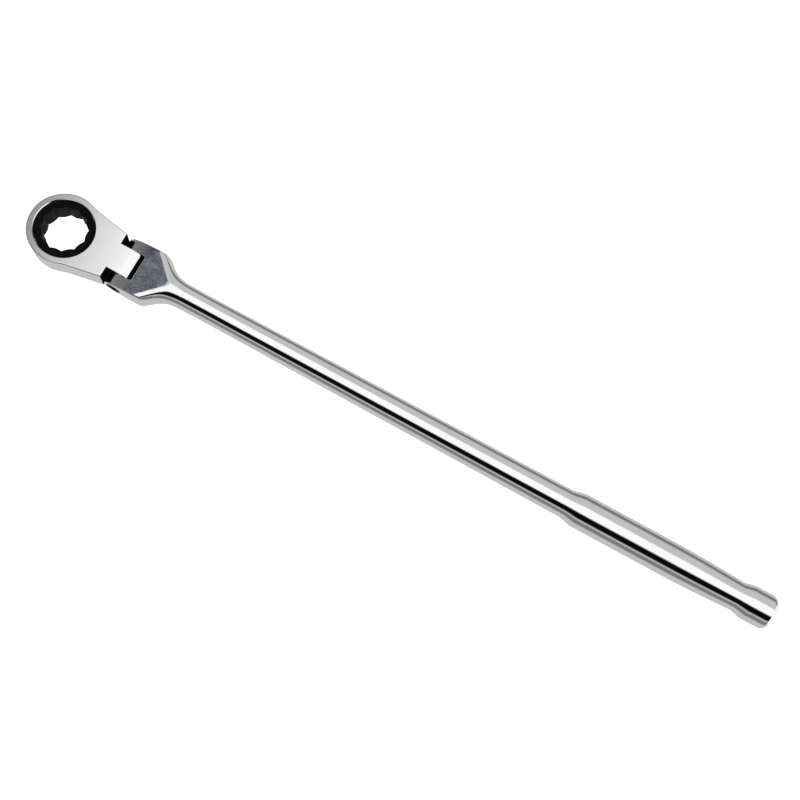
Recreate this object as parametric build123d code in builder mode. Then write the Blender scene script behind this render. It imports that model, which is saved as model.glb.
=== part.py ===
"""Long flex-head ratcheting box wrench: a 21 mm twelve-point ring head that folds on a forged handle.

Frame, in millimetres: the origin is the middle of the socket, +Z is the socket's axis, and +X runs along
the handle to its end. The head and the handle are in line, and the flex pivot lies along Y.
"""
import os
from math import cos, pi, sin, sqrt

from build123d import *

os.makedirs("parts", exist_ok=True)

# ---- driving dimensions: the ring head ----
ACROSS_FLATS = 21.0
HEAD_RADIUS = 18.7
HEAD_THICKNESS = 13.6
HEAD_EDGE = 0.7                       # rounding of the ring's outer edges
NECK_HALF_WIDTH = 18.3                # the neck's straight walls, carried back to x = 0
NECK_TAPER = 0.185                    # how much narrower each wall gets per millimetre of x
NECK_BLEND = 16.0                     # hollow between the ring and the neck
SHOULDER_GAP = 6.7                    # from the shoulder to the pivot
TANG_WIDTH = 14.0
MOUTH_CHAMFER = 0.45                  # on the edges of the bore

# ---- driving dimensions: the ratchet ----
TOOTH_COUNT = 72
TOOTH_TIP = 14.5
TOOTH_DEPTH = 0.55
SOCKET_TURN = -5.0                    # the socket stands one tooth round from the handle's line
FLANGE_RADIUS = 15.15
FLANGE_THICKNESS = 1.35
GEAR_RECESS = 0.2                     # the gear's faces lie this far inside the head's
GEAR_EDGE = 0.2
JOURNAL_RADIUS = 13.4
SOCKET_CORNER = 3.0                   # rounding of the socket's twelve inward corners
LEAD_IN_RADIUS = 11.6                 # mouth of the bevel at each end of the socket
RUNNING_GAP = 0.05
LIP_TOP = -4.0                        # the lip that the gear's teeth run on
LIP_THICKNESS = 0.9
BACK_RECESS_RADIUS = 14.95
WASHER_THICKNESS = 0.4
SNAP_RING_THICKNESS = 0.8
SNAP_RING_GAP = 3.0
SNAP_RING_CORNER = 0.3
SNAP_GROOVE_DEPTH = 0.55
PAWL_WIDTH = 9.0
PAWL_INNER_X = 12.0                   # inside the bore, where the pawl and its pocket are cut from
PAWL_TRAVEL = 0.6
PAWL_CORNER = 1.0
POCKET_BACK_X = 21.4
POCKET_CORNER = 0.8
PLUNGER_DIAMETER = 3.0
PLUNGER_SEAT_GAP = 0.6                # from the pawl's back face to the middle of the plunger's round nose
PLUNGER_HOLE_END_X = 27.0
PAWL_SPRING_WIRE = 0.5

# ---- driving dimensions: the flex joint ----
PIVOT_X = 34.8
SLOT_WIDTH = 14.5
SLOT_BOTTOM_X = 42.0
SLOT_CORNER = 1.0
SLOT_EDGE = 0.4
YOKE_WIDTH = 27.6
YOKE_THICKNESS = 13.8                 # of the ears' oval
EAR_TIP_X = 29.5
EAR_ROUND_X = 47.0                    # middle of the half oval that the ears' side view follows
SLOPE_START_X = 44.0                  # from here to the flare the yoke's faces are flat
YOKE_EDGE = 1.1
SCREW_HEAD_DIAMETER = 7.7
SCREW_HEAD_HEIGHT = 2.5
SCREW_SHANK_DIAMETER = 5.6
SCREW_THREAD_DIAMETER = 5.0
SCREW_KEY = 3.0
SCREW_HEAD_EDGE = 0.3
SCREW_TIP_CHAMFER = 0.4
FLEX_WASHER_THICKNESS = 0.2
FLEX_WASHER_DIAMETER = 9.4
FLEX_PLUNGER_DIAMETER = 4.0
FLEX_PLUNGER_LENGTH = 5.0
FLEX_PLUNGER_EDGE = 0.3
FLEX_HOLE_END_X = 51.0
FLEX_SPRING_WIRE = 0.5
SPRING_TURNS = 4

# ---- driving dimensions: the handle ----
# The flare behind the yoke is oval in section: (x, half width, half height).
FLARE_SECTIONS = (
    (EAR_ROUND_X, 18.2, 11.5),
    (54.0, 12.6, 9.2),
    (58.0, 9.4, 8.2),
    (62.0, 7.45, 7.2),
    (68.0, 6.75, 6.75),
)
SHAFT_RADIUS_FRONT = 6.62
SHAFT_RADIUS_BACK = 7.77
SHAFT_FRONT_X = 80.0
SHAFT_BACK_X = 289.0
GRIP_START_X = 296.0
GRIP_RADIUS = 9.3
GRIP_TAPER_X = 350.0
WAIST_X = 388.5
WAIST_RADIUS = 8.05
KNOB_RADIUS = 9.45
KNOB_START_X = 396.0
HANDLE_END_X = 408.5
KNOB_CORNER = 3.4
GRIP_BLEND = 3.0                      # at both ends of the cone up to the grip

# ---- lengths worked out from them ----
HEAD_TOP = HEAD_THICKNESS / 2
YOKE_TOP = YOKE_THICKNESS / 2
SHOULDER_X = PIVOT_X - SHOULDER_GAP
GEAR_TOP = HEAD_TOP - GEAR_RECESS
FLANGE_SEAT = GEAR_TOP - FLANGE_THICKNESS
LIP_BOTTOM = LIP_TOP - LIP_THICKNESS
PAWL_GAP = 0.1
POCKET_TOP = FLANGE_SEAT - 3 * PAWL_GAP
PAWL_BACK_X = POCKET_BACK_X - PAWL_TRAVEL - 3 * PAWL_GAP
PLUNGER_NOSE_X = PAWL_BACK_X + PLUNGER_SEAT_GAP
FLARE_END_X, FLARE_END_RADIUS = FLARE_SECTIONS[-1][:2]
SHAFT_ROOT_X = FLARE_END_X - 2        # the turned shaft starts inside the flare


def neck_wall(x):
    """Half the width between the neck's straight walls at x."""
    return NECK_HALF_WIDTH - NECK_TAPER * x


def yoke_face(x):
    """Height of the yoke's flat face at x, which leaves the ears' oval on its tangent."""
    reach = EAR_ROUND_X - EAR_TIP_X
    back = (EAR_ROUND_X - SLOPE_START_X) / reach
    start = YOKE_TOP * sqrt(1 - back**2)
    slope = YOKE_TOP * back / (reach * sqrt(1 - back**2))
    return start + slope * (x - SLOPE_START_X)


def tooth_outline(gap):
    """Corners of the ratchet's toothed outline, grown by a gap, going once round."""
    step = 2 * pi / TOOTH_COUNT
    corners = []
    for tooth in range(TOOTH_COUNT):
        tip = tooth * step
        valley = tip + step / 2
        root = TOOTH_TIP - TOOTH_DEPTH + gap
        corners.append(((TOOTH_TIP + gap) * cos(tip), (TOOTH_TIP + gap) * sin(tip)))
        corners.append((root * cos(valley), root * sin(valley)))
    return corners


def along_x(x, y=0.0, z=0.0):
    """Plane across the X axis whose normal points along +X."""
    return Plane(origin=(x, y, z), x_dir=(0, 1, 0), z_dir=(1, 0, 0))


def along_y(y):
    """Plane across the pivot's axis whose normal points along +Y."""
    return Plane(origin=(PIVOT_X, y, 0), x_dir=(-1, 0, 0), z_dir=(0, 1, 0))


# ---- head: ring, neck and tang, one forging ----
with BuildPart() as head:
    with BuildSketch(Plane.XY.offset(-HEAD_TOP)) as head_plan:
        Circle(HEAD_RADIUS)
        with BuildLine():
            Polyline(
                (HEAD_RADIUS / 4, neck_wall(HEAD_RADIUS / 4)),
                (SHOULDER_X, neck_wall(SHOULDER_X)),
                (SHOULDER_X, -neck_wall(SHOULDER_X)),
                (HEAD_RADIUS / 4, -neck_wall(HEAD_RADIUS / 4)),
                close=True,
            )
        make_face()
        hollow_corners = head_plan.vertices().filter_by_position(Axis.X, 6, 12)
        fillet(hollow_corners, NECK_BLEND)
    extrude(amount=HEAD_THICKNESS)
    outline_edges = head.faces().sort_by(Axis.Z)[0].edges() + head.faces().sort_by(Axis.Z)[-1].edges()
    fillet(outline_edges, HEAD_EDGE)

    # tang, with a full-round end about the pivot
    with BuildSketch(Plane.XZ):
        with Locations((PIVOT_X, 0)):
            Circle(HEAD_TOP)
            Rectangle(PIVOT_X - HEAD_RADIUS, HEAD_THICKNESS, align=(Align.MAX, Align.CENTER))
    extrude(amount=TANG_WIDTH / 2, both=True)

    # stepped bore: flange seat, tooth bore, lip and back recess
    with BuildSketch(Plane.XY.offset(FLANGE_SEAT - RUNNING_GAP)):
        Circle(FLANGE_RADIUS + 2 * RUNNING_GAP)
    extrude(amount=HEAD_THICKNESS, mode=Mode.SUBTRACT)
    with BuildSketch(Plane.XY.offset(LIP_TOP)):
        Circle(TOOTH_TIP + 3 * RUNNING_GAP)
    extrude(amount=HEAD_THICKNESS, mode=Mode.SUBTRACT)
    with BuildSketch(Plane.XY.offset(LIP_TOP)):
        Circle(JOURNAL_RADIUS + RUNNING_GAP)
    extrude(amount=-HEAD_THICKNESS, mode=Mode.SUBTRACT)
    with BuildSketch(Plane.XY.offset(LIP_BOTTOM)):
        Circle(BACK_RECESS_RADIUS)
    extrude(amount=-HEAD_THICKNESS, mode=Mode.SUBTRACT)
    mouths = head.edges().filter_by(GeomType.CIRCLE).filter_by(
        lambda edge: abs(abs(edge.center(CenterOf.BOUNDING_BOX).Z) - HEAD_TOP) < 0.01
        and abs(edge.center(CenterOf.BOUNDING_BOX).X) < 0.01
        and edge.radius < HEAD_RADIUS - 2 * HEAD_EDGE
    )
    chamfer(mouths, MOUTH_CHAMFER)

    # pocket for the pawl, open to the bore, and the hole for its plunger
    with BuildSketch(Plane.XY.offset(LIP_TOP)) as pocket_plan:
        with Locations((POCKET_BACK_X, 0)):
            Rectangle(
                POCKET_BACK_X - PAWL_INNER_X,
                PAWL_WIDTH + 2 * PAWL_GAP,
                align=(Align.MAX, Align.CENTER),
            )
        fillet(pocket_plan.vertices().sort_by(Axis.X)[-2:], POCKET_CORNER)
    extrude(amount=POCKET_TOP - LIP_TOP, mode=Mode.SUBTRACT)
    with BuildSketch(along_x(POCKET_BACK_X - 0.5)):
        Circle(PLUNGER_DIAMETER / 2 + RUNNING_GAP)
    extrude(amount=PLUNGER_HOLE_END_X - POCKET_BACK_X + 0.5, mode=Mode.SUBTRACT)

    # pivot bore through the tang
    with BuildSketch(along_y(0)):
        Circle(SCREW_SHANK_DIAMETER / 2 + RUNNING_GAP)
    extrude(amount=TANG_WIDTH, both=True, mode=Mode.SUBTRACT)
head.part.label = "head"
export_step(head.part, "parts/head.step")


# ---- ratchet gear: flange, teeth and journal round the twelve-point socket ----
with BuildPart() as ratchet_gear:
    with BuildSketch(Plane.XY.offset(FLANGE_SEAT)):
        Circle(FLANGE_RADIUS)
    extrude(amount=FLANGE_THICKNESS)
    chamfer(ratchet_gear.faces().sort_by(Axis.Z)[-1].edges(), GEAR_EDGE)
    with BuildSketch(Plane.XY.offset(LIP_TOP + RUNNING_GAP)):
        with BuildLine():
            Polyline(*tooth_outline(0), close=True)
        make_face()
    extrude(amount=FLANGE_SEAT - LIP_TOP - RUNNING_GAP)
    with BuildSketch(Plane.XY.offset(-GEAR_TOP)):
        Circle(JOURNAL_RADIUS)
    extrude(amount=GEAR_TOP + LIP_TOP + RUNNING_GAP)
    chamfer(ratchet_gear.faces().sort_by(Axis.Z)[0].edges(), GEAR_EDGE)

    # groove for the retaining ring
    with BuildSketch(Plane.XY.offset(LIP_BOTTOM - WASHER_THICKNESS - RUNNING_GAP)):
        Circle(JOURNAL_RADIUS + 1)
        Circle(JOURNAL_RADIUS - SNAP_GROOVE_DEPTH, mode=Mode.SUBTRACT)
    extrude(amount=-SNAP_RING_THICKNESS - 2 * RUNNING_GAP, mode=Mode.SUBTRACT)

    # twelve-point socket: two hexagons thirty degrees apart
    with BuildSketch(Plane.XY.offset(-HEAD_TOP)) as socket_plan:
        for hexagon in range(2):
            RegularPolygon(ACROSS_FLATS / 2, 6, major_radius=False, rotation=SOCKET_TURN + 30 * hexagon)
        inward_corners = socket_plan.vertices().filter_by(
            lambda corner: sqrt(corner.X**2 + corner.Y**2) < 0.55 * ACROSS_FLATS
        )
        fillet(inward_corners, SOCKET_CORNER)
    extrude(amount=HEAD_THICKNESS, mode=Mode.SUBTRACT)
    for end in (-1, 1):
        with Locations((0, 0, end * (GEAR_TOP - LEAD_IN_RADIUS / 2))):
            Cone(
                LEAD_IN_RADIUS if end < 0 else 0,
                0 if end < 0 else LEAD_IN_RADIUS,
                LEAD_IN_RADIUS,
                mode=Mode.SUBTRACT,
            )
ratchet_gear.part.label = "ratchet_gear"
export_step(ratchet_gear.part, "parts/ratchet_gear.step")


# ---- thrust washer under the lip ----
with BuildPart() as thrust_washer:
    with BuildSketch(Plane.XY.offset(LIP_BOTTOM)):
        Circle(BACK_RECESS_RADIUS - 2 * RUNNING_GAP)
        Circle(JOURNAL_RADIUS + RUNNING_GAP, mode=Mode.SUBTRACT)
    extrude(amount=-WASHER_THICKNESS)
thrust_washer.part.label = "thrust_washer"
export_step(thrust_washer.part, "parts/thrust_washer.step")


# ---- retaining ring in the gear's groove, with a gap to spring it open ----
with BuildPart() as retaining_ring:
    with BuildSketch(Plane.XY.offset(LIP_BOTTOM - WASHER_THICKNESS - 2 * RUNNING_GAP)) as ring_plan:
        Circle(BACK_RECESS_RADIUS - 5 * RUNNING_GAP)
        Circle(JOURNAL_RADIUS - SNAP_GROOVE_DEPTH + RUNNING_GAP, mode=Mode.SUBTRACT)
        with Locations((-JOURNAL_RADIUS, 0)):
            Rectangle(3 * SNAP_RING_GAP, SNAP_RING_GAP, mode=Mode.SUBTRACT)
        fillet(ring_plan.vertices(), SNAP_RING_CORNER)
    extrude(amount=-SNAP_RING_THICKNESS)
retaining_ring.part.label = "retaining_ring"
export_step(retaining_ring.part, "parts/retaining_ring.step")


# ---- pawl: slides along X, its face cut to the gear's teeth ----
with BuildPart() as pawl:
    with BuildSketch(Plane.XY.offset(LIP_TOP + PAWL_GAP)) as pawl_plan:
        with Locations((PAWL_BACK_X, 0)):
            Rectangle(PAWL_BACK_X - PAWL_INNER_X, PAWL_WIDTH, align=(Align.MAX, Align.CENTER))
        fillet(pawl_plan.vertices().sort_by(Axis.X)[-2:], PAWL_CORNER)
        with BuildLine():
            Polyline(*tooth_outline(RUNNING_GAP), close=True)
        make_face(mode=Mode.SUBTRACT)
    extrude(amount=POCKET_TOP - LIP_TOP - 2 * PAWL_GAP)
    # seat for the plunger's nose
    with Locations((PLUNGER_NOSE_X, 0, 0)):
        Sphere(PLUNGER_DIAMETER / 2, mode=Mode.SUBTRACT)
pawl.part.label = "pawl"
export_step(pawl.part, "parts/pawl.step")


# ---- plunger that pushes the pawl ----
PLUNGER_END_X = POCKET_BACK_X + 2.0
with BuildPart() as pawl_plunger:
    with BuildSketch(along_x(PLUNGER_NOSE_X)):
        Circle(PLUNGER_DIAMETER / 2)
    extrude(amount=PLUNGER_END_X - PLUNGER_NOSE_X)
    with Locations((PLUNGER_NOSE_X, 0, 0)):
        Sphere(PLUNGER_DIAMETER / 2 - 0.02)
pawl_plunger.part.label = "pawl_plunger"
export_step(pawl_plunger.part, "parts/pawl_plunger.step")


# ---- spring behind the pawl's plunger ----
with BuildPart() as pawl_spring:
    pawl_spring_start = PLUNGER_END_X + PAWL_SPRING_WIRE / 2 + 0.02
    pawl_spring_length = PLUNGER_HOLE_END_X - PAWL_SPRING_WIRE / 2 - 0.02 - pawl_spring_start
    with BuildLine() as pawl_coil:
        Helix(
            pitch=pawl_spring_length / SPRING_TURNS,
            height=pawl_spring_length,
            radius=PLUNGER_DIAMETER / 2 - PAWL_SPRING_WIRE / 2 - 0.1,
            center=(pawl_spring_start, 0, 0),
            direction=(1, 0, 0),
        )
    with BuildSketch(pawl_coil.line ^ 0):
        Circle(PAWL_SPRING_WIRE / 2)
    sweep(path=pawl_coil.line, is_frenet=True)
pawl_spring.part.label = "pawl_spring"
export_step(pawl_spring.part, "parts/pawl_spring.step")


# ---- handle: yoke, shaft and grip, one forging ----
with BuildPart() as handle:
    for x, half_width, half_height in FLARE_SECTIONS:
        with BuildSketch(along_x(x)):
            Ellipse(half_width, half_height)
    loft()

    # side view of the yoke: half an oval at the ears, then faces that rise gently to the flare
    with BuildSketch(Plane.XZ) as yoke_side:
        with Locations((EAR_ROUND_X, 0)):
            Ellipse(EAR_ROUND_X - EAR_TIP_X, YOKE_TOP)
        with Locations((SLOPE_START_X, 0)):
            Rectangle(EAR_ROUND_X, YOKE_THICKNESS, align=(Align.MIN, Align.CENTER), mode=Mode.SUBTRACT)
        with BuildLine():
            Polyline(
                (SLOPE_START_X, yoke_face(SLOPE_START_X)),
                (FLARE_END_X + 1, yoke_face(FLARE_END_X + 1)),
                (FLARE_END_X + 1, -yoke_face(FLARE_END_X + 1)),
                (SLOPE_START_X, -yoke_face(SLOPE_START_X)),
                close=True,
            )
        make_face()
    extrude(amount=YOKE_WIDTH / 2, both=True, mode=Mode.INTERSECT)
    with BuildSketch(Plane.XZ):
        add(yoke_side.sketch)
        with Locations((EAR_ROUND_X, 0)):
            Rectangle(EAR_ROUND_X, 2 * YOKE_THICKNESS, align=(Align.MIN, Align.CENTER), mode=Mode.SUBTRACT)
    extrude(amount=YOKE_WIDTH / 2, both=True)

    # shaft, grip, waist and end knob, turned about X
    with BuildSketch(Plane.XY) as handle_profile:
        with BuildLine():
            Polyline(
                (SHAFT_ROOT_X, 0),
                (SHAFT_ROOT_X, FLARE_END_RADIUS),
                (FLARE_END_X, FLARE_END_RADIUS),
                (SHAFT_FRONT_X, SHAFT_RADIUS_FRONT),
                (SHAFT_BACK_X, SHAFT_RADIUS_BACK),
                (GRIP_START_X, GRIP_RADIUS),
                (GRIP_TAPER_X, GRIP_RADIUS),
            )
            Spline((GRIP_TAPER_X, GRIP_RADIUS), (WAIST_X, WAIST_RADIUS), tangents=((1, 0), (1, -0.04)))
            Spline((WAIST_X, WAIST_RADIUS), (KNOB_START_X, KNOB_RADIUS), tangents=((1, -0.04), (1, 0)))
            Polyline(
                (KNOB_START_X, KNOB_RADIUS),
                (HANDLE_END_X, KNOB_RADIUS),
                (HANDLE_END_X, 0),
                (SHAFT_ROOT_X, 0),
            )
        make_face()
        cone_ends = handle_profile.vertices().filter_by_position(Axis.X, SHAFT_BACK_X - 1, GRIP_START_X + 1)
        fillet(cone_ends, GRIP_BLEND)
        fillet(handle_profile.vertices().sort_by(Axis.X)[-2:].sort_by(Axis.Y)[-1], KNOB_CORNER)
    revolve(axis=Axis.X)

    # soften the yoke's long outer edges
    side_faces = handle.faces().filter_by(Axis.Y).filter_by(
        lambda face: abs(abs(face.center().Y) - YOKE_WIDTH / 2) < 0.01
    )
    fillet(side_faces.edges(), YOKE_EDGE)

    # slot for the tang
    with BuildSketch(Plane.XY.offset(-YOKE_THICKNESS)) as slot_plan:
        with Locations((SLOT_BOTTOM_X, 0)):
            Rectangle(SLOT_BOTTOM_X, SLOT_WIDTH, align=(Align.MAX, Align.CENTER))
        fillet(slot_plan.vertices().sort_by(Axis.X)[-2:], SLOT_CORNER)
    extrude(amount=2 * YOKE_THICKNESS, mode=Mode.SUBTRACT)
    slot_walls = handle.faces().filter_by(Axis.Y).filter_by(
        lambda face: abs(abs(face.center().Y) - SLOT_WIDTH / 2) < 0.01
    )
    ear_edges = slot_walls.edges().filter_by(GeomType.BSPLINE)
    bottom_edges = handle.edges().filter_by(
        lambda edge: SLOT_BOTTOM_X - SLOT_CORNER < edge.center().X < SLOT_BOTTOM_X + 0.1
        and abs(edge.center().Y) < SLOT_WIDTH / 2
        and abs(edge.center().Z) > YOKE_TOP / 2
    )
    fillet(ear_edges + bottom_edges, SLOT_EDGE)

    # bore for the pivot screw: head seat in one ear, clearance, then the threaded ear
    with BuildSketch(along_y(-YOKE_WIDTH)):
        Circle(SCREW_HEAD_DIAMETER / 2 + RUNNING_GAP)
    extrude(amount=YOKE_WIDTH / 2 + SCREW_HEAD_HEIGHT + 0.1, mode=Mode.SUBTRACT)
    with BuildSketch(along_y(-YOKE_WIDTH)):
        Circle(SCREW_SHANK_DIAMETER / 2 + RUNNING_GAP)
    extrude(amount=YOKE_WIDTH, mode=Mode.SUBTRACT)
    with BuildSketch(along_y(0)):
        Circle(SCREW_THREAD_DIAMETER / 2 + 0.02)
    extrude(amount=YOKE_WIDTH, mode=Mode.SUBTRACT)

    # hole for the friction plunger
    with BuildSketch(along_x(SLOT_BOTTOM_X - 1)):
        Circle(FLEX_PLUNGER_DIAMETER / 2 + RUNNING_GAP)
    extrude(amount=FLEX_HOLE_END_X - SLOT_BOTTOM_X + 1, mode=Mode.SUBTRACT)
handle.part.label = "handle"
export_step(handle.part, "parts/handle.step")


# ---- pivot screw: flush head with a hexagon socket, plain shank, thread in the far ear ----
SCREW_HEAD_Y = -YOKE_WIDTH / 2 + 0.1
SCREW_SHANK_END_Y = SLOT_WIDTH / 2 - 0.05
with BuildPart() as pivot_screw:
    with BuildSketch(along_y(SCREW_HEAD_Y)):
        Circle(SCREW_HEAD_DIAMETER / 2)
    extrude(amount=SCREW_HEAD_HEIGHT)
    chamfer(pivot_screw.edges().group_by(Axis.Y)[0], SCREW_HEAD_EDGE)
    with BuildSketch(along_y(SCREW_HEAD_Y)):
        Circle(SCREW_SHANK_DIAMETER / 2)
    extrude(amount=SCREW_SHANK_END_Y - SCREW_HEAD_Y)
    with BuildSketch(along_y(SCREW_SHANK_END_Y)):
        Circle(SCREW_THREAD_DIAMETER / 2)
    extrude(amount=YOKE_WIDTH / 2 - SCREW_TIP_CHAMFER - SCREW_SHANK_END_Y)
    chamfer(pivot_screw.edges().group_by(Axis.Y)[-1], SCREW_TIP_CHAMFER)
    with BuildSketch(along_y(SCREW_HEAD_Y)):
        RegularPolygon(SCREW_KEY / 2, 6, major_radius=False)
    extrude(amount=SCREW_HEAD_HEIGHT * 0.7, mode=Mode.SUBTRACT)
pivot_screw.part.label = "pivot_screw"
export_step(pivot_screw.part, "parts/pivot_screw.step")


# ---- thin friction washers each side of the tang ----
for side, name in ((-1, "flex_washer_right"), (1, "flex_washer_left")):
    with BuildPart() as flex_washer:
        with BuildSketch(along_y(side * (TANG_WIDTH / 2 + 0.02))):
            Circle(FLEX_WASHER_DIAMETER / 2)
            Circle(SCREW_SHANK_DIAMETER / 2 + RUNNING_GAP, mode=Mode.SUBTRACT)
        extrude(amount=side * FLEX_WASHER_THICKNESS)
    flex_washer.part.label = name
    export_step(flex_washer.part, f"parts/{name}.step")


# ---- friction plunger and its spring, behind the tang ----
FLEX_PLUNGER_NOSE_X = PIVOT_X + HEAD_TOP + 0.03
FLEX_PLUNGER_END_X = FLEX_PLUNGER_NOSE_X + FLEX_PLUNGER_LENGTH
with BuildPart() as flex_plunger:
    with BuildSketch(along_x(FLEX_PLUNGER_NOSE_X)):
        Circle(FLEX_PLUNGER_DIAMETER / 2)
    extrude(amount=FLEX_PLUNGER_LENGTH)
    chamfer(flex_plunger.edges().filter_by(GeomType.CIRCLE), FLEX_PLUNGER_EDGE)
flex_plunger.part.label = "flex_plunger"
export_step(flex_plunger.part, "parts/flex_plunger.step")

with BuildPart() as flex_spring:
    flex_spring_start = FLEX_PLUNGER_END_X + FLEX_SPRING_WIRE / 2 + 0.02
    flex_spring_length = FLEX_HOLE_END_X - FLEX_SPRING_WIRE / 2 - 0.02 - flex_spring_start
    with BuildLine() as flex_coil:
        Helix(
            pitch=flex_spring_length / SPRING_TURNS,
            height=flex_spring_length,
            radius=FLEX_PLUNGER_DIAMETER / 2 - FLEX_SPRING_WIRE / 2 - 0.15,
            center=(flex_spring_start, 0, 0),
            direction=(1, 0, 0),
        )
    with BuildSketch(flex_coil.line ^ 0):
        Circle(FLEX_SPRING_WIRE / 2)
    sweep(path=flex_coil.line, is_frenet=True)
flex_spring.part.label = "flex_spring"
export_step(flex_spring.part, "parts/flex_spring.step")
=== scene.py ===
from math import atan, atan2, cos, pi, radians, sin, sqrt

import bmesh
import bpy
from mathutils import Matrix, Vector


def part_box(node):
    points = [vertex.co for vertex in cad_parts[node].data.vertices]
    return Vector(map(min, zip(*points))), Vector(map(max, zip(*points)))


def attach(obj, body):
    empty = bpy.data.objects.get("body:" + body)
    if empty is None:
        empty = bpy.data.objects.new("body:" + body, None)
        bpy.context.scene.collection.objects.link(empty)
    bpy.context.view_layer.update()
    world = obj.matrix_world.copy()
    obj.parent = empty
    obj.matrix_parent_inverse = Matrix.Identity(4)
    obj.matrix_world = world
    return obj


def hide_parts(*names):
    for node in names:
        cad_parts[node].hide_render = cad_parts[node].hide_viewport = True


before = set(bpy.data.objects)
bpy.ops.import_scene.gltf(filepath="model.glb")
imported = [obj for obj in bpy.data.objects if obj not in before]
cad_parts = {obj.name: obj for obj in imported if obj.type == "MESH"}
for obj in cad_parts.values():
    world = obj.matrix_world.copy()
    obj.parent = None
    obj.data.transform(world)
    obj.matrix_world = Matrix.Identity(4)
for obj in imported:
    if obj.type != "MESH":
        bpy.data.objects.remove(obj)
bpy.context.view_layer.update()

MM = 0.001

# ---- the handle's sizes, in millimetres, as in the CAD ----
HANDLE_LOW, HANDLE_HIGH = (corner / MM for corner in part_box("handle"))
EAR_TIP_X = HANDLE_LOW.x
HANDLE_END_X = HANDLE_HIGH.x
YOKE_HALF_WIDTH = HANDLE_HIGH.y
KNOB_RADIUS = HANDLE_HIGH.z
EAR_ROUND_X = 47.0                    # middle of the half oval that the ears' side view follows
EAR_HALF_HEIGHT = 6.9
SLOPE_START_X = 44.0                  # from here to the flare the yoke's faces are flat
YOKE_EDGE = 1.1
FLARE_EDGE = 0.4
FLARE_FULLNESS = 2.2                  # power of the flare's oval: 2 is an ellipse
FACET_APEX_X = 60.0                   # where the two slanting facets behind the flat face meet
FACET_TILT = radians(14)
FACET_EDGE = 0.12
CORNER_END_X = 59.0                   # from here on no corner shows in the section
PIVOT_X = 34.8
SLOT_HALF_WIDTH = 7.25
SLOT_BOTTOM_X = 42.0
SLOT_CORNER = 1.0
SLOT_EDGE = 0.4
SEAT_RADIUS = 3.9
SEAT_DEPTH = 2.6
SHANK_HOLE_RADIUS = 2.85
THREAD_HOLE_RADIUS = 2.52
PLUNGER_HOLE_RADIUS = 2.05
PLUNGER_HOLE_END_X = 51.0
# the flare is oval in section: x, half width, half height
FLARE = ((47.0, 18.2, 11.5), (54.0, 12.6, 9.2), (58.0, 9.4, 8.2), (62.0, 7.45, 7.2), (68.0, 6.75, 6.75))
FLARE_END_X = FLARE[-1][0]
SHAFT = ((80.0, 6.62), (289.0, 7.77))  # x and radius at its two ends
GRIP_START_X = 296.0
GRIP_RADIUS = 9.3
GRIP_TAPER_X = 350.0
WAIST = (388.5, 8.05)                 # x and radius where the grip is thinnest
WAIST_SLOPE = 0.04                    # how fast the radius still falls there
KNOB_START_X = 396.0
KNOB_CORNER = 3.4
CONE_BLEND = 0.18
SHOULDER_X = 28.1                     # the head's step behind the ring

# ---- how finely the handle is meshed, in millimetres ----
YOKE_STEP = 0.4
EDGE_GAPS = (-0.05, 0.03, 0.08, 0.15, 0.24, 0.34)  # beside the slot, across its rounded edge
HALVINGS = 24                         # of the span in which the surface is looked for
SHARP_ANGLE = radians(32)


# ---------------------------------------------------------------- small helpers

def mesh_piece(name, bm, body, material):
    """Turn a bmesh in millimetres into a smooth-shaded piece that rides on a body."""
    bmesh.ops.scale(bm, vec=(MM, MM, MM), verts=bm.verts)
    mesh = bpy.data.meshes.new(name)
    bm.to_mesh(mesh)
    bm.free()
    mesh.polygons.foreach_set("use_smooth", [True] * len(mesh.polygons))
    mesh.set_sharp_from_angle(angle=SHARP_ANGLE)
    mesh.materials.append(material)
    piece = bpy.data.objects.new(name, mesh)
    bpy.context.scene.collection.objects.link(piece)
    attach(piece, body)
    return piece


def spline_through(points, x):
    """Value at x of a smooth curve through (x, value) points, by cubic Hermite spans."""
    xs = [p[0] for p in points]
    ys = [p[1] for p in points]
    span = max(0, min(len(xs) - 2, sum(x > knot for knot in xs[1:])))

    def slope(k):
        if k == 0:
            return (ys[1] - ys[0]) / (xs[1] - xs[0])
        if k == len(xs) - 1:
            return 0.0
        return (ys[k + 1] - ys[k - 1]) / (xs[k + 1] - xs[k - 1])

    width = xs[span + 1] - xs[span]
    t = (x - xs[span]) / width
    rise0 = (2 * t**3 - 3 * t**2 + 1) * ys[span] + (t**3 - 2 * t**2 + t) * width * slope(span)
    rise1 = (3 * t**2 - 2 * t**3) * ys[span + 1] + (t**3 - t**2) * width * slope(span + 1)
    return rise0 + rise1


def soft_max(a, b, reach):
    """The larger of two values, passing smoothly from one to the other within reach."""
    near = max(reach - abs(a - b), 0) / reach
    return max(a, b) + near * near * reach / 4


def ease(t):
    """From 0 to 1 as t goes from 0 to 1, level at both ends."""
    return 3 * t**2 - 2 * t**3


def rounded_both(a, b, radius):
    """Signed distance to what is inside both a and b, with their common edge rounded."""
    outer = sqrt(max(a + radius, 0) ** 2 + max(b + radius, 0) ** 2)
    return min(max(a + radius, b + radius), 0) + outer - radius


# ---------------------------------------------------------------- handle

def ear_oval(x, z):
    """Signed distance, near enough, to the half oval of the ears' side view."""
    reach = EAR_ROUND_X - EAR_TIP_X
    u, v = (x - EAR_ROUND_X) / reach, z / EAR_HALF_HEIGHT
    whole = sqrt(u * u + v * v)
    steep = sqrt((u / reach) ** 2 + (v / EAR_HALF_HEIGHT) ** 2)
    return whole * (whole - 1) / steep


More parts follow.
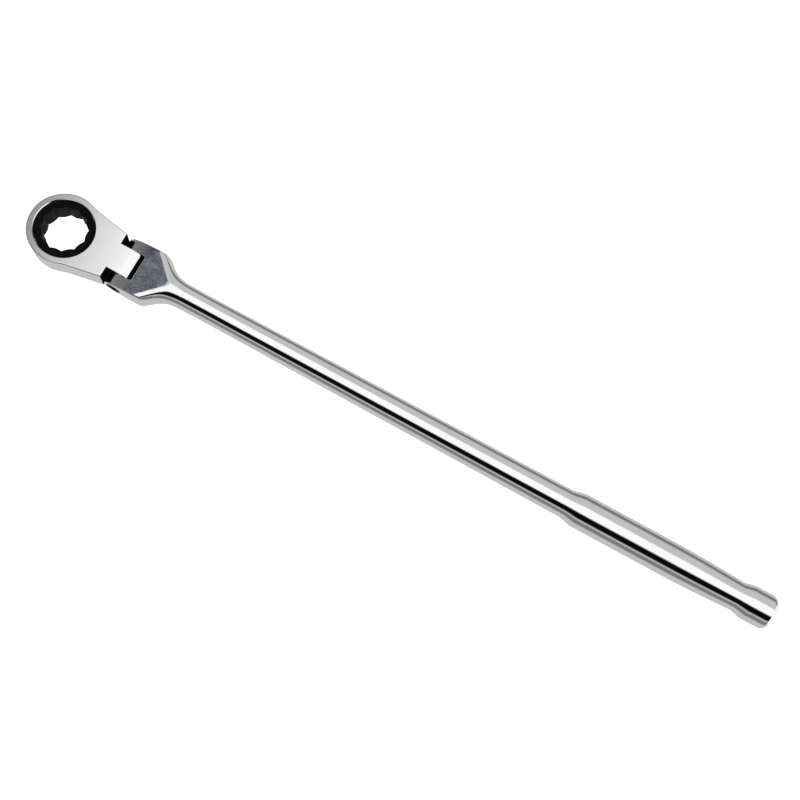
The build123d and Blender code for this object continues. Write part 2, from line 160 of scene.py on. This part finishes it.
def yoke_profile(x, z):
    """Signed distance to the yoke's side view: half oval, then gently rising faces."""
    if x <= SLOPE_START_X:
        return ear_oval(x, z)
    reach = EAR_ROUND_X - EAR_TIP_X
    back = (EAR_ROUND_X - SLOPE_START_X) / reach
    start = EAR_HALF_HEIGHT * sqrt(1 - back**2)
    slope = EAR_HALF_HEIGHT * back / (reach * sqrt(1 - back**2))
    return (abs(z) - start - slope * (x - SLOPE_START_X)) / sqrt(1 + slope**2)


def flare_oval(x, y, z):
    """Signed distance, near enough, to the flare's oval section, a little fuller than an ellipse."""
    wide = spline_through([(s[0], s[1]) for s in FLARE], x)
    high = spline_through([(s[0], s[2]) for s in FLARE], x)
    thin = min(max((x - FACET_APEX_X) / (FLARE_END_X - FACET_APEX_X), 0), 1)
    power = FLARE_FULLNESS + (2 - FLARE_FULLNESS) * thin
    u, v = abs(y) / wide, abs(z) / high
    whole = (u**power + v**power) ** (1 / power)
    steep = sqrt((u ** (power - 1) / wide) ** 2 + (v ** (power - 1) / high) ** 2) * whole ** (1 - power)
    return (whole - 1) / steep


def yoke_distance(x, y, z):
    """Signed distance to the yoke and flare, before the slot is cut."""
    profile = yoke_profile(x, z)
    if x < EAR_ROUND_X:
        return rounded_both(abs(y) - YOKE_HALF_WIDTH, profile, YOKE_EDGE)
    past_line = (x - FACET_APEX_X + abs(y)) / sqrt(2)
    facet = profile * cos(FACET_TILT) + past_line * sin(FACET_TILT)
    roof = soft_max(profile, facet, FACET_EDGE)
    inside = rounded_both(abs(y) - YOKE_HALF_WIDTH, roof, YOKE_EDGE)
    return soft_max(inside, flare_oval(x, y, z), FLARE_EDGE)


def shaft_radius(x):
    """Radius of the turned shaft, grip and knob."""
    front, back = SHAFT
    if x < front[0]:
        end = FLARE[-1]
        return end[1] + (front[1] - end[1]) * (x - end[0]) / (front[0] - end[0])
    if x < GRIP_TAPER_X:
        run = front[1] + (back[1] - front[1]) * (x - front[0]) / (back[0] - front[0])
        climb = back[1] + (GRIP_RADIUS - back[1]) * (x - back[0]) / (GRIP_START_X - back[0])
        return -soft_max(-soft_max(run, climb, CONE_BLEND), -GRIP_RADIUS, CONE_BLEND)
    if x < WAIST[0]:
        t = (x - GRIP_TAPER_X) / (WAIST[0] - GRIP_TAPER_X)
        leaning = WAIST_SLOPE * (WAIST[0] - GRIP_TAPER_X) * (t**3 - t**2)
        return GRIP_RADIUS - (GRIP_RADIUS - WAIST[1]) * ease(t) - leaning
    if x < KNOB_START_X:
        width = KNOB_START_X - WAIST[0]
        t = (x - WAIST[0]) / width
        leaning = WAIST_SLOPE * width * (t**3 - 2 * t**2 + t)
        return WAIST[1] + (KNOB_RADIUS - WAIST[1]) * ease(t) - leaning
    inset = x - (HANDLE_END_X - KNOB_CORNER)
    if inset <= 0:
        return KNOB_RADIUS
    return KNOB_RADIUS - KNOB_CORNER + sqrt(max(KNOB_CORNER**2 - inset**2, 0))


def section_angles():
    """Directions of a section's rays, closer together where the edges are rounded."""
    quarter = [radians(a) for a in range(0, 34, 2)]
    quarter += [radians(34 + 0.75 * k) for k in range(30)]
    quarter += [radians(57 + 1.5 * k) for k in range(22)]
    quarter += [atan(YOKE_HALF_WIDTH / (SLOT_HALF_WIDTH + gap)) for gap in (-0.3, *EDGE_GAPS, 0.45)]
    quarter = sorted(set(round(a, 5) for a in quarter))
    half = quarter + [pi / 2] + [pi - a for a in reversed(quarter) if a > 0]
    return half + [pi] + [a + pi for a in half[1:]]


def follow_corner(angle, corner):
    """Shift a ray's angle so that the rays crowded at 45 degrees stand on the section's corner."""
    side = angle % pi
    folded = min(side, pi - side)
    if folded < pi / 4:
        moved = folded * corner / (pi / 4)
    else:
        moved = corner + (folded - pi / 4) * (pi / 2 - corner) / (pi / 4)
    shifted = moved if side <= pi / 2 else pi - moved
    return shifted + (angle - side)


def slot_gap(x, y):
    """How far a point of the plan lies outside the slot."""
    dx = max(x - (SLOT_BOTTOM_X - SLOT_CORNER), 0)
    dy = max(abs(y) - (SLOT_HALF_WIDTH - SLOT_CORNER), 0)
    if x < SLOT_BOTTOM_X - SLOT_CORNER:
        return abs(y) - SLOT_HALF_WIDTH
    return sqrt(dx * dx + dy * dy) - SLOT_CORNER


def edge_drop(gap):
    """How much a face dips next to the slot, where its edge is rounded."""
    inside = min(max(SLOT_EDGE - gap, 0), SLOT_EDGE)
    return SLOT_EDGE - sqrt(SLOT_EDGE**2 - inside**2)


def ray_box(x):
    """Half width and half height that set the slant of a section's rays, and the angle of its corner."""
    tall = EAR_HALF_HEIGHT
    if x < EAR_ROUND_X:
        tall *= sqrt(max(1 - ((EAR_ROUND_X - x) / (EAR_ROUND_X - EAR_TIP_X)) ** 2, 0))
        return YOKE_HALF_WIDTH, tall, pi / 4
    blend = min((x - EAR_ROUND_X) / (FLARE_END_X - EAR_ROUND_X), 1)
    blend = ease(blend)
    wide = YOKE_HALF_WIDTH * (1 - blend) + EAR_HALF_HEIGHT * blend
    corner_x = min(x, CORNER_END_X)
    across = min(YOKE_HALF_WIDTH, FACET_APEX_X + 2 - corner_x)
    corner = atan2(1.0, across / wide)
    settle = min(max((x - CORNER_END_X) / (1.5 * EAR_HALF_HEIGHT), 0), 1)
    return wide, tall, corner + (pi / 4 - corner) * ease(settle)


def section(x, angles):
    """One closed section of the handle at x, as points."""
    wide, tall, corner = ray_box(x)
    points = []
    for angle in angles:
        a = follow_corner(angle, corner)
        ray = Vector((0, wide * cos(a), tall * sin(a)))
        if x >= FLARE_END_X:
            points.append(Vector((x, 0, 0)) + ray.normalized() * shaft_radius(x))
            continue
        low, high = 0.0, 3.0
        for _ in range(HALVINGS):
            middle = (low + high) / 2
            if yoke_distance(x, ray.y * middle, ray.z * middle) < 0:
                low = middle
            else:
                high = middle
        spot = ray * low
        if abs(spot.z) > 0.05 and x < SLOT_BOTTOM_X + 2:
            fall = min(edge_drop(slot_gap(x, spot.y)), abs(spot.z) / 2)
            spot.z -= fall if spot.z > 0 else -fall
        points.append(Vector((x, spot.y, spot.z)))
    return points


def spaced(start, step, count):
    return [start + step * k for k in range(count)]


def stations():
    """Where the sections stand, closer together where the shape turns quickly."""
    reach = EAR_ROUND_X - EAR_TIP_X
    xs = [EAR_ROUND_X - reach * cos(radians(a)) for a in (1.2, 2, 3, 4.5, 6, 8, 10, 12, 14.5, 17, 20, 23, 26)]
    x = 31.4
    while x < FLARE_END_X:
        xs.append(x)
        x += YOKE_STEP
    xs += [SLOT_BOTTOM_X + gap for gap in (-0.35, *EDGE_GAPS, 0.5)]
    xs += [FLARE_END_X + step for step in (0, 1, 2, 4, 6, 9, 12)]
    xs += spaced(85, 10, 20)                     # shaft
    xs += spaced(SHAFT[1][0] - 3, 0.4, 36)       # cone up to the grip
    xs += spaced(301, 7, 7)                      # grip
    xs += spaced(GRIP_TAPER_X, 2, 20)            # its taper
    xs += spaced(WAIST[0] - 0.5, 0.3, 30)        # waist
    xs += spaced(KNOB_START_X + 0.5, 1.5, 6)     # knob
    xs += [HANDLE_END_X - KNOB_CORNER * (1 - sin(radians(a))) for a in range(0, 90, 6)]
    xs += [HANDLE_END_X - 0.004]
    xs = sorted(xs)
    kept = [xs[0]]
    for x in xs[1:]:
        if x - kept[-1] > 0.02:
            kept.append(x)
    return kept


def cylinder_cutter(start, end, radius, segments=96):
    """A closed cylinder from start to end."""
    bm = bmesh.new()
    axis = Vector(end) - Vector(start)
    turn = Vector((0, 0, 1)).rotation_difference(axis).to_matrix().to_4x4()
    place = Matrix.Translation((Vector(start) + Vector(end)) / 2) @ turn
    bmesh.ops.create_cone(
        bm, cap_ends=True, segments=segments, radius1=radius, radius2=radius, depth=axis.length, matrix=place
    )
    return cutter_object(bm)


def slot_cutter():
    """The slot for the tang, with its two inner corners rounded."""
    start_x, bottom, height = EAR_TIP_X - 5, -9, 18
    outline = [Vector((start_x, side * SLOT_HALF_WIDTH, bottom)) for side in (-1, 1)]
    for side in (1, -1):
        for step in range(9):
            turn = radians(90 - 90 * step / 8) if side > 0 else radians(-90 * step / 8)
            outline.append(Vector((
                SLOT_BOTTOM_X - SLOT_CORNER + SLOT_CORNER * cos(turn),
                side * (SLOT_HALF_WIDTH - SLOT_CORNER) + SLOT_CORNER * sin(turn),
                bottom,
            )))
    bm = bmesh.new()
    floor_face = bm.faces.new([bm.verts.new(p) for p in reversed(outline)])
    raised = bmesh.ops.extrude_face_region(bm, geom=[floor_face])
    lid = [item for item in raised["geom"] if isinstance(item, bmesh.types.BMVert)]
    bmesh.ops.translate(bm, vec=(0, 0, height), verts=lid)
    bmesh.ops.recalc_face_normals(bm, faces=bm.faces)
    return cutter_object(bm)


def cutter_object(bm):
    """Turn a bmesh into an object that only cuts."""
    mesh = bpy.data.meshes.new("cutter")
    bm.to_mesh(mesh)
    bm.free()
    tool = bpy.data.objects.new("cutter", mesh)
    bpy.context.scene.collection.objects.link(tool)
    return tool


def cut(bm, tools):
    """Cut each tool out of a bmesh and give the result as a new bmesh."""
    mesh = bpy.data.meshes.new("blank")
    bm.to_mesh(mesh)
    bm.free()
    blank = bpy.data.objects.new("blank", mesh)
    bpy.context.scene.collection.objects.link(blank)
    for tool in tools:
        step = blank.modifiers.new("cut", "BOOLEAN")
        step.operation = "DIFFERENCE"
        step.solver = "EXACT"
        step.object = tool
    bpy.context.view_layer.update()
    done = blank.evaluated_get(bpy.context.evaluated_depsgraph_get())
    result = bmesh.new()
    result.from_mesh(done.to_mesh())
    done.to_mesh_clear()
    for item in [blank, *tools]:
        bpy.data.objects.remove(item)
    return result


def close_up(bm):
    """Merge corners that the cuts left together, drop faces left back to back, and fill the pinholes."""
    bmesh.ops.remove_doubles(bm, verts=bm.verts, dist=0.00005)
    by_corners = {}
    for face in bm.faces:
        by_corners.setdefault(frozenset(face.verts), []).append(face)
    doubled = [face for faces in by_corners.values() if len(faces) > 1 for face in faces]
    bmesh.ops.delete(bm, geom=doubled, context="FACES")
    bmesh.ops.holes_fill(bm, edges=[edge for edge in bm.edges if edge.is_boundary], sides=0)


def handle_piece(material):
    """The forged handle: yoke, flare, shaft, grip and knob, with the slot and the holes cut."""
    angles = section_angles()
    bm = bmesh.new()
    rings = []
    for x in stations():
        rings.append([bm.verts.new(p) for p in section(x, angles)])
    count = len(angles)
    for near, far in zip(rings, rings[1:]):
        for k in range(count):
            bm.faces.new((near[k], near[(k + 1) % count], far[(k + 1) % count], far[k]))
    bm.faces.new(list(reversed(rings[0])))
    bm.faces.new(rings[-1])
    bmesh.ops.recalc_face_normals(bm, faces=bm.faces)
    outside = YOKE_HALF_WIDTH + 1
    tools = [
        slot_cutter(),
        cylinder_cutter((PIVOT_X, -outside, 0), (PIVOT_X, -YOKE_HALF_WIDTH + SEAT_DEPTH, 0), SEAT_RADIUS),
        cylinder_cutter((PIVOT_X, -outside, 0), (PIVOT_X, 0, 0), SHANK_HOLE_RADIUS),
        cylinder_cutter((PIVOT_X, 0, 0), (PIVOT_X, outside, 0), THREAD_HOLE_RADIUS),
        cylinder_cutter((SLOT_BOTTOM_X - 1, 0, 0), (PLUNGER_HOLE_END_X, 0, 0), PLUNGER_HOLE_RADIUS),
    ]
    bm = cut(bm, tools)
    close_up(bm)
    piece = mesh_piece("handle_forging", bm, "handle", material)
    even = piece.modifiers.new("even_normals", "WEIGHTED_NORMAL")
    even.mode = "FACE_AREA_WITH_ANGLE"
    even.keep_sharp = True
    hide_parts("handle")


# ---------------------------------------------------------------- materials

def new_material(name):
    material = bpy.data.materials.new(name)
    material.use_nodes = True
    tree = material.node_tree
    return material, tree, tree.nodes["Principled BSDF"]


def node(tree, kind, **settings):
    made = tree.nodes.new(kind)
    for key, value in settings.items():
        setattr(made, key, value)
    return made


def feed(tree, socket, value):
    """Give an input a number, a colour, or another node's output."""
    if isinstance(value, bpy.types.NodeSocket):
        tree.links.new(value, socket)
    elif isinstance(value, tuple):
        socket.default_value = (*value, 1)
    else:
        socket.default_value = value


def math(tree, operation, *values):
    """The result of a Math node on one or two values."""
    made = node(tree, "ShaderNodeMath", operation=operation)
    for socket, value in zip(made.inputs, values):
        feed(tree, socket, value)
    return made.outputs[0]


def noise(tree, place, scale, detail=4.0, roughness=0.5, distortion=0.0):
    made = node(tree, "ShaderNodeTexNoise")
    made.inputs["Scale"].default_value = scale
    made.inputs["Detail"].default_value = detail
    made.inputs["Roughness"].default_value = roughness
    made.inputs["Distortion"].default_value = distortion
    tree.links.new(place, made.inputs["Vector"])
    return made.outputs["Fac"]


def stretched(tree, turn, scale):
    """Object coordinates turned and stretched, for scratches that run one way."""
    place = node(tree, "ShaderNodeTexCoord").outputs["Object"]
    mapping = node(tree, "ShaderNodeMapping", vector_type="TEXTURE")
    mapping.inputs["Rotation"].default_value = turn
    mapping.inputs["Scale"].default_value = scale
    tree.links.new(place, mapping.inputs["Vector"])
    return mapping.outputs["Vector"]


def spread(tree, value, low, high, to_low, to_high):
    """Take low to to_low and high to to_high, evenly between them and flat outside."""
    made = node(tree, "ShaderNodeMapRange")
    made.inputs["From Min"].default_value = low
    made.inputs["From Max"].default_value = high
    made.inputs["To Min"].default_value = to_low
    made.inputs["To Max"].default_value = to_high
    tree.links.new(value, made.inputs["Value"])
    return made.outputs["Result"]


def bump(tree, height, distance, strength=1.0, base=None):
    made = node(tree, "ShaderNodeBump")
    made.inputs["Distance"].default_value = distance
    made.inputs["Strength"].default_value = strength
    tree.links.new(height, made.inputs["Height"])
    if base is not None:
        tree.links.new(base, made.inputs["Normal"])
    return made.outputs["Normal"]


def window(tree, value, low, high, soft):
    """1 where the value lies between low and high, with soft ends."""
    rise = spread(tree, value, low - soft, low + soft, 0, 1)
    fall = spread(tree, value, high - soft, high + soft, 1, 0)
    return math(tree, "MULTIPLY", rise, fall)


def mix(tree, factor, a, b, data_type="RGBA"):
    """From a to b as the factor goes from 0 to 1; colours unless told otherwise."""
    made = node(tree, "ShaderNodeMix", data_type=data_type)
    for name, value in (("Factor", factor), ("A", a), ("B", b)):
        feed(tree, made.inputs[name], value)
    return made.outputs["Result"]


POLISHED, POLISHED_DULLER = (0.93, 0.93, 0.935), (0.87, 0.87, 0.88)
# the satin tones' dark blue-grey is a painted reflection of dark surroundings; the rub marks and blotches
# belong to the finish
SATIN_PAINTED_DARK, SATIN_PALE, SATIN_LIGHTER = (0.26, 0.28, 0.36), (0.66, 0.68, 0.76), (0.86, 0.86, 0.84)
# painted shade: black painted on the recesses where shade falls
PAINTED_SHADE_BLACK = (0.006, 0.006, 0.007)


def chrome_finish(name, masks):
    """Polished chrome with faint polishing lines; masks say where it is satin with a painted dark reflection
    tone, where that tone is lighter, and where black is painted as shade.
    """
    material, tree, shader = new_material(name)
    shader.inputs["Specular IOR Level"].default_value = 0.0
    place = node(tree, "ShaderNodeTexCoord")
    spot = node(tree, "ShaderNodeSeparateXYZ")
    tree.links.new(place.outputs["Object"], spot.inputs[0])
    facing = node(tree, "ShaderNodeSeparateXYZ")
    tree.links.new(place.outputs["Normal"], facing.inputs[0])
    satin_and_painted_reflection, lighter, painted_shade = masks(tree, spot.outputs, facing.outputs)

    patches = noise(tree, place.outputs["Object"], 55, 5, 0.6)
    lines = noise(tree, stretched(tree, (0, 0, 0), (12, 0.6, 0.6)), 700, 3)
    waves = noise(tree, place.outputs["Object"], 38, 2, 0.4)
    polished = mix(tree, spread(tree, patches, 0.5, 0.85, 0, 1), POLISHED, POLISHED_DULLER)
    polished_rough = spread(tree, patches, 0.3, 0.75, 0.02, 0.05)

    # satin: rub marks in two directions over soft blotches, in a dark blue-grey tone that is a painted
    # reflection
    rubbed = noise(tree, stretched(tree, (0, 0, radians(-35)), (7, 1, 1)), 1900, 4, 0.6)
    crossing = noise(tree, stretched(tree, (0, 0, radians(25)), (8, 1, 1)), 1500, 4, 0.6)
    blotches = noise(tree, place.outputs["Object"], 110, 5, 0.55, 0.4)
    rubs = math(tree, "ADD", math(tree, "MULTIPLY", rubbed, 0.35), math(tree, "MULTIPLY", crossing, 0.25))
    shade = math(tree, "ADD", rubs, math(tree, "MULTIPLY", blotches, 0.4))
    satin_painted_reflection_colour = mix(tree, spread(tree, shade, 0.41, 0.59, 0, 1), SATIN_PAINTED_DARK, SATIN_PALE)
    satin_painted_reflection_colour = mix(tree, lighter, satin_painted_reflection_colour, SATIN_LIGHTER)
    satin_rough = spread(tree, shade, 0.35, 0.65, 0.10, 0.18)

    # painted shade: the recesses are painted black and lose their metal
    colour = mix(tree, painted_shade, mix(tree, satin_and_painted_reflection, polished, satin_painted_reflection_colour), PAINTED_SHADE_BLACK)
    rough = mix(tree, painted_shade, mix(tree, satin_and_painted_reflection, polished_rough, satin_rough, "FLOAT"), 0.5, "FLOAT")
    tree.links.new(colour, shader.inputs["Base Color"])
    tree.links.new(rough, shader.inputs["Roughness"])
    tree.links.new(math(tree, "SUBTRACT", 1.0, painted_shade), shader.inputs["Metallic"])
    normal = bump(tree, waves, 0.00005, 0.3)
    normal = bump(tree, lines, 0.000002, 0.3, normal)
    normal = bump(tree, math(tree, "MULTIPLY", rubs, satin_and_painted_reflection), 0.00002, 0.4, normal)
    tree.links.new(normal, shader.inputs["Normal"])
    return material


def handle_masks(tree, spot, facing):
    """The yoke's flat faces are satin with a painted dark reflection tone, lighter towards the ears' ends,
    and the slot's walls are painted black as shade.
    """
    x, beside = spot["X"], math(tree, "ABSOLUTE", spot["Y"])
    upright = math(tree, "ABSOLUTE", facing["Z"])
    level = spread(tree, upright, 0.80, 0.93, 0, 1)
    across = math(tree, "ADD", x, beside)
    before_facets = spread(tree, across, (FACET_APEX_X + 0.2) * MM, (FACET_APEX_X - 0.2) * MM, 0, 1)
    between_ears = spread(tree, beside, (SLOT_HALF_WIDTH + 0.07) * MM, (SLOT_HALF_WIDTH + 0.03) * MM, 0, 1)
    before_bottom = spread(tree, x, (SLOT_BOTTOM_X + 0.1) * MM, (SLOT_BOTTOM_X + 0.05) * MM, 0, 1)
    in_slot = math(tree, "MULTIPLY", between_ears, before_bottom)
    sideways = spread(tree, upright, 0.5, 0.2, 0, 1)
    # the satin is lighter towards the ears' ends
    lighter = spread(tree, x, (SLOT_BOTTOM_X + 1) * MM, (PIVOT_X + 0.2) * MM, 0, 0.75)
    # painted shade: the slot's side walls are painted black
    return math(tree, "MULTIPLY", level, before_facets), lighter, math(tree, "MULTIPLY", in_slot, sideways)


def head_masks(tree, spot, facing):
    """Only the shoulder behind the ring is painted black, as shade."""
    # painted shade: the shoulder face behind the ring is painted black
    shoulder = window(tree, spot["X"], (SHOULDER_X - 0.3) * MM, (SHOULDER_X + 0.3) * MM, 0.1 * MM)
    backward = spread(tree, facing["X"], 0.5, 0.8, 0, 1)
    return 0.0, 0.0, math(tree, "MULTIPLY", shoulder, backward)


def plain_metal(name, colour, roughness, metallic, grain, specular=0.5):
    """Darker metals: a fine grain in the finish and a little wear."""
    material, tree, shader = new_material(name)
    shader.inputs["Specular IOR Level"].default_value = specular
    shader.inputs["Metallic"].default_value = metallic
    place = node(tree, "ShaderNodeTexCoord").outputs["Object"]
    patches = noise(tree, place, 180, 5, 0.6)
    lighter = tuple(part * 1.8 for part in colour)
    shaded = mix(tree, spread(tree, patches, 0.45, 0.8, 0, 1), colour, lighter)
    rough = spread(tree, patches, 0.3, 0.7, roughness * 0.85, roughness * 1.2)
    tree.links.new(shaded, shader.inputs["Base Color"])
    tree.links.new(rough, shader.inputs["Roughness"])
    tree.links.new(bump(tree, noise(tree, place, grain, 3), 0.00001, 0.4), shader.inputs["Normal"])
    return material


# ---------------------------------------------------------------- studio

CAMERA_PLACE = (0.180, -0.1266, 0.537)
CAMERA_TURN = (11.85, -7.38, 27.56)   # degrees
CAMERA_LENS = 48.7                    # on the usual 36 mm sensor
# surfaces of the light tent, by the angle from straight up at which each ends, in degrees
BOX_END_ANGLE = 25
CARD_END_ANGLE = 65
WALL_TOP_ANGLE = 75
WALL_FOOT_ANGLE = 105
EDGE_SOFTNESS = 5
# its two ends, by how far a direction points along the handle: 1 is straight towards the grip
HEAD_END = -0.3
GRIP_END = 0.8
END_SOFTNESS = 0.05
# how chrome shows each surface, from 0 to 255
BOX_GREY, CARD_GREY, SHEET_GREY, WALL_GREY, ROOM_GREY = 250, 10, 190, 120, 130
REFLECTANCE = 0.92
WHITE = (1.0, 1.0, 1.0)
FLOOR_CLEARANCE = 3 * MM              # under the head at its lowest
FLOOR_HALF_SIDE = 3.0


def tone(grey):
    """Light that a chrome face shows as this grey, from 0 to 255."""
    v = grey / 255
    linear = v / 12.92 if v <= 0.04045 else ((v + 0.055) / 1.055) ** 2.4
    return (linear / REFLECTANCE,) * 3


def studio_world():
    """A plain light tent: soft box overhead, a black card on the near side, grey walls, pale sheet below."""
    world = bpy.data.worlds.new("studio")
    bpy.context.scene.world = world
    world.use_nodes = True
    tree = world.node_tree
    split = node(tree, "ShaderNodeSeparateXYZ")
    tree.links.new(node(tree, "ShaderNodeTexCoord").outputs["Generated"], split.inputs[0])
    along = split.outputs["X"]
    from_above = math(tree, "ARCTAN2", math(tree, "ABSOLUTE", split.outputs["Y"]), split.outputs["Z"])

    def beyond(angle, inside, outside):
        """One surface up to an angle from straight up, and another past it."""
        past = spread(tree, from_above, radians(angle - EDGE_SOFTNESS), radians(angle + EDGE_SOFTNESS), 0, 1)
        return mix(tree, past, inside, outside)

    def toward_grip(place, before, after):
        """One surface up to a place along the handle, and another past it."""
        return mix(tree, spread(tree, along, place - END_SOFTNESS, place + END_SOFTNESS, 0, 1), before, after)

    sides = beyond(WALL_FOOT_ANGLE, tone(WALL_GREY), tone(SHEET_GREY))
    sides = beyond(WALL_TOP_ANGLE, tone(SHEET_GREY), sides)
    near_side = math(tree, "LESS_THAN", split.outputs["Y"], 0.0)
    card = mix(tree, near_side, tone(SHEET_GREY), tone(CARD_GREY))
    sides = beyond(CARD_END_ANGLE, card, sides)
    tent = beyond(BOX_END_ANGLE, tone(BOX_GREY), sides)
    room = beyond(WALL_FOOT_ANGLE, tone(ROOM_GREY), tone(SHEET_GREY))
    light = toward_grip(GRIP_END, toward_grip(HEAD_END, room, tent), tone(BOX_GREY))

    # the camera itself sees plain white
    camera_ray = node(tree, "ShaderNodeLightPath").outputs["Is Camera Ray"]
    tree.links.new(mix(tree, camera_ray, light, WHITE), tree.nodes["Background"].inputs["Color"])


def studio_floor():
    """A plain pale sheet, low enough for the head to swing down in front of it."""
    swing = PIVOT_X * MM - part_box("head")[0].x
    z = -swing - FLOOR_CLEARANCE
    corners = [(x * FLOOR_HALF_SIDE, y * FLOOR_HALF_SIDE, z) for x, y in ((-1, -1), (1, -1), (1, 1), (-1, 1))]
    mesh = bpy.data.meshes.new("floor")
    mesh.from_pydata(corners, [], [(0, 1, 2, 3)])
    floor = bpy.data.objects.new("floor", mesh)
    bpy.context.scene.collection.objects.link(floor)
    material, _, shader = new_material("pale_sheet")
    shader.inputs["Base Color"].default_value = (0.8, 0.8, 0.8, 1)
    shader.inputs["Roughness"].default_value = 0.9
    shader.inputs["Emission Color"].default_value = (1, 1, 1, 1)
    shader.inputs["Emission Strength"].default_value = 0.9
    mesh.materials.append(material)
    floor.visible_glossy = False


def studio_camera():
    """Looks down on the wrench, a little from the near side, with the handle falling to the right."""
    lens = bpy.data.cameras.new("camera")
    lens.lens = CAMERA_LENS
    camera = bpy.data.objects.new("camera", lens)
    camera.location = CAMERA_PLACE
    camera.rotation_euler = [radians(angle) for angle in CAMERA_TURN]
    bpy.context.scene.collection.objects.link(camera)
    bpy.context.scene.camera = camera
    bpy.context.scene.view_settings.view_transform = "Standard"


# ---------------------------------------------------------------- put it together

head_chrome = chrome_finish("head_chrome", head_masks)
handle_chrome = chrome_finish("handle_chrome", handle_masks)
black_oxide = plain_metal("black_oxide", (0.007, 0.007, 0.0075), 0.45, 0.0, 2600, specular=0.03)
hardened_steel = plain_metal("hardened_steel", (0.40, 0.40, 0.41), 0.3, 1.0, 2600)
spring_wire = plain_metal("spring_wire", (0.30, 0.30, 0.31), 0.25, 1.0, 3200)
FINISH = {
    "head": head_chrome,
    "handle": handle_chrome,
    "ratchet_gear": black_oxide,
    "pivot_screw": black_oxide,
    "retaining_ring": black_oxide,
    "pawl_spring": spring_wire,
    "flex_spring": spring_wire,
}
for name, cad_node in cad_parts.items():
    cad_node.data.materials.clear()
    cad_node.data.materials.append(FINISH.get(name, hardened_steel))

handle_piece(handle_chrome)
studio_world()
studio_floor()
studio_camera()
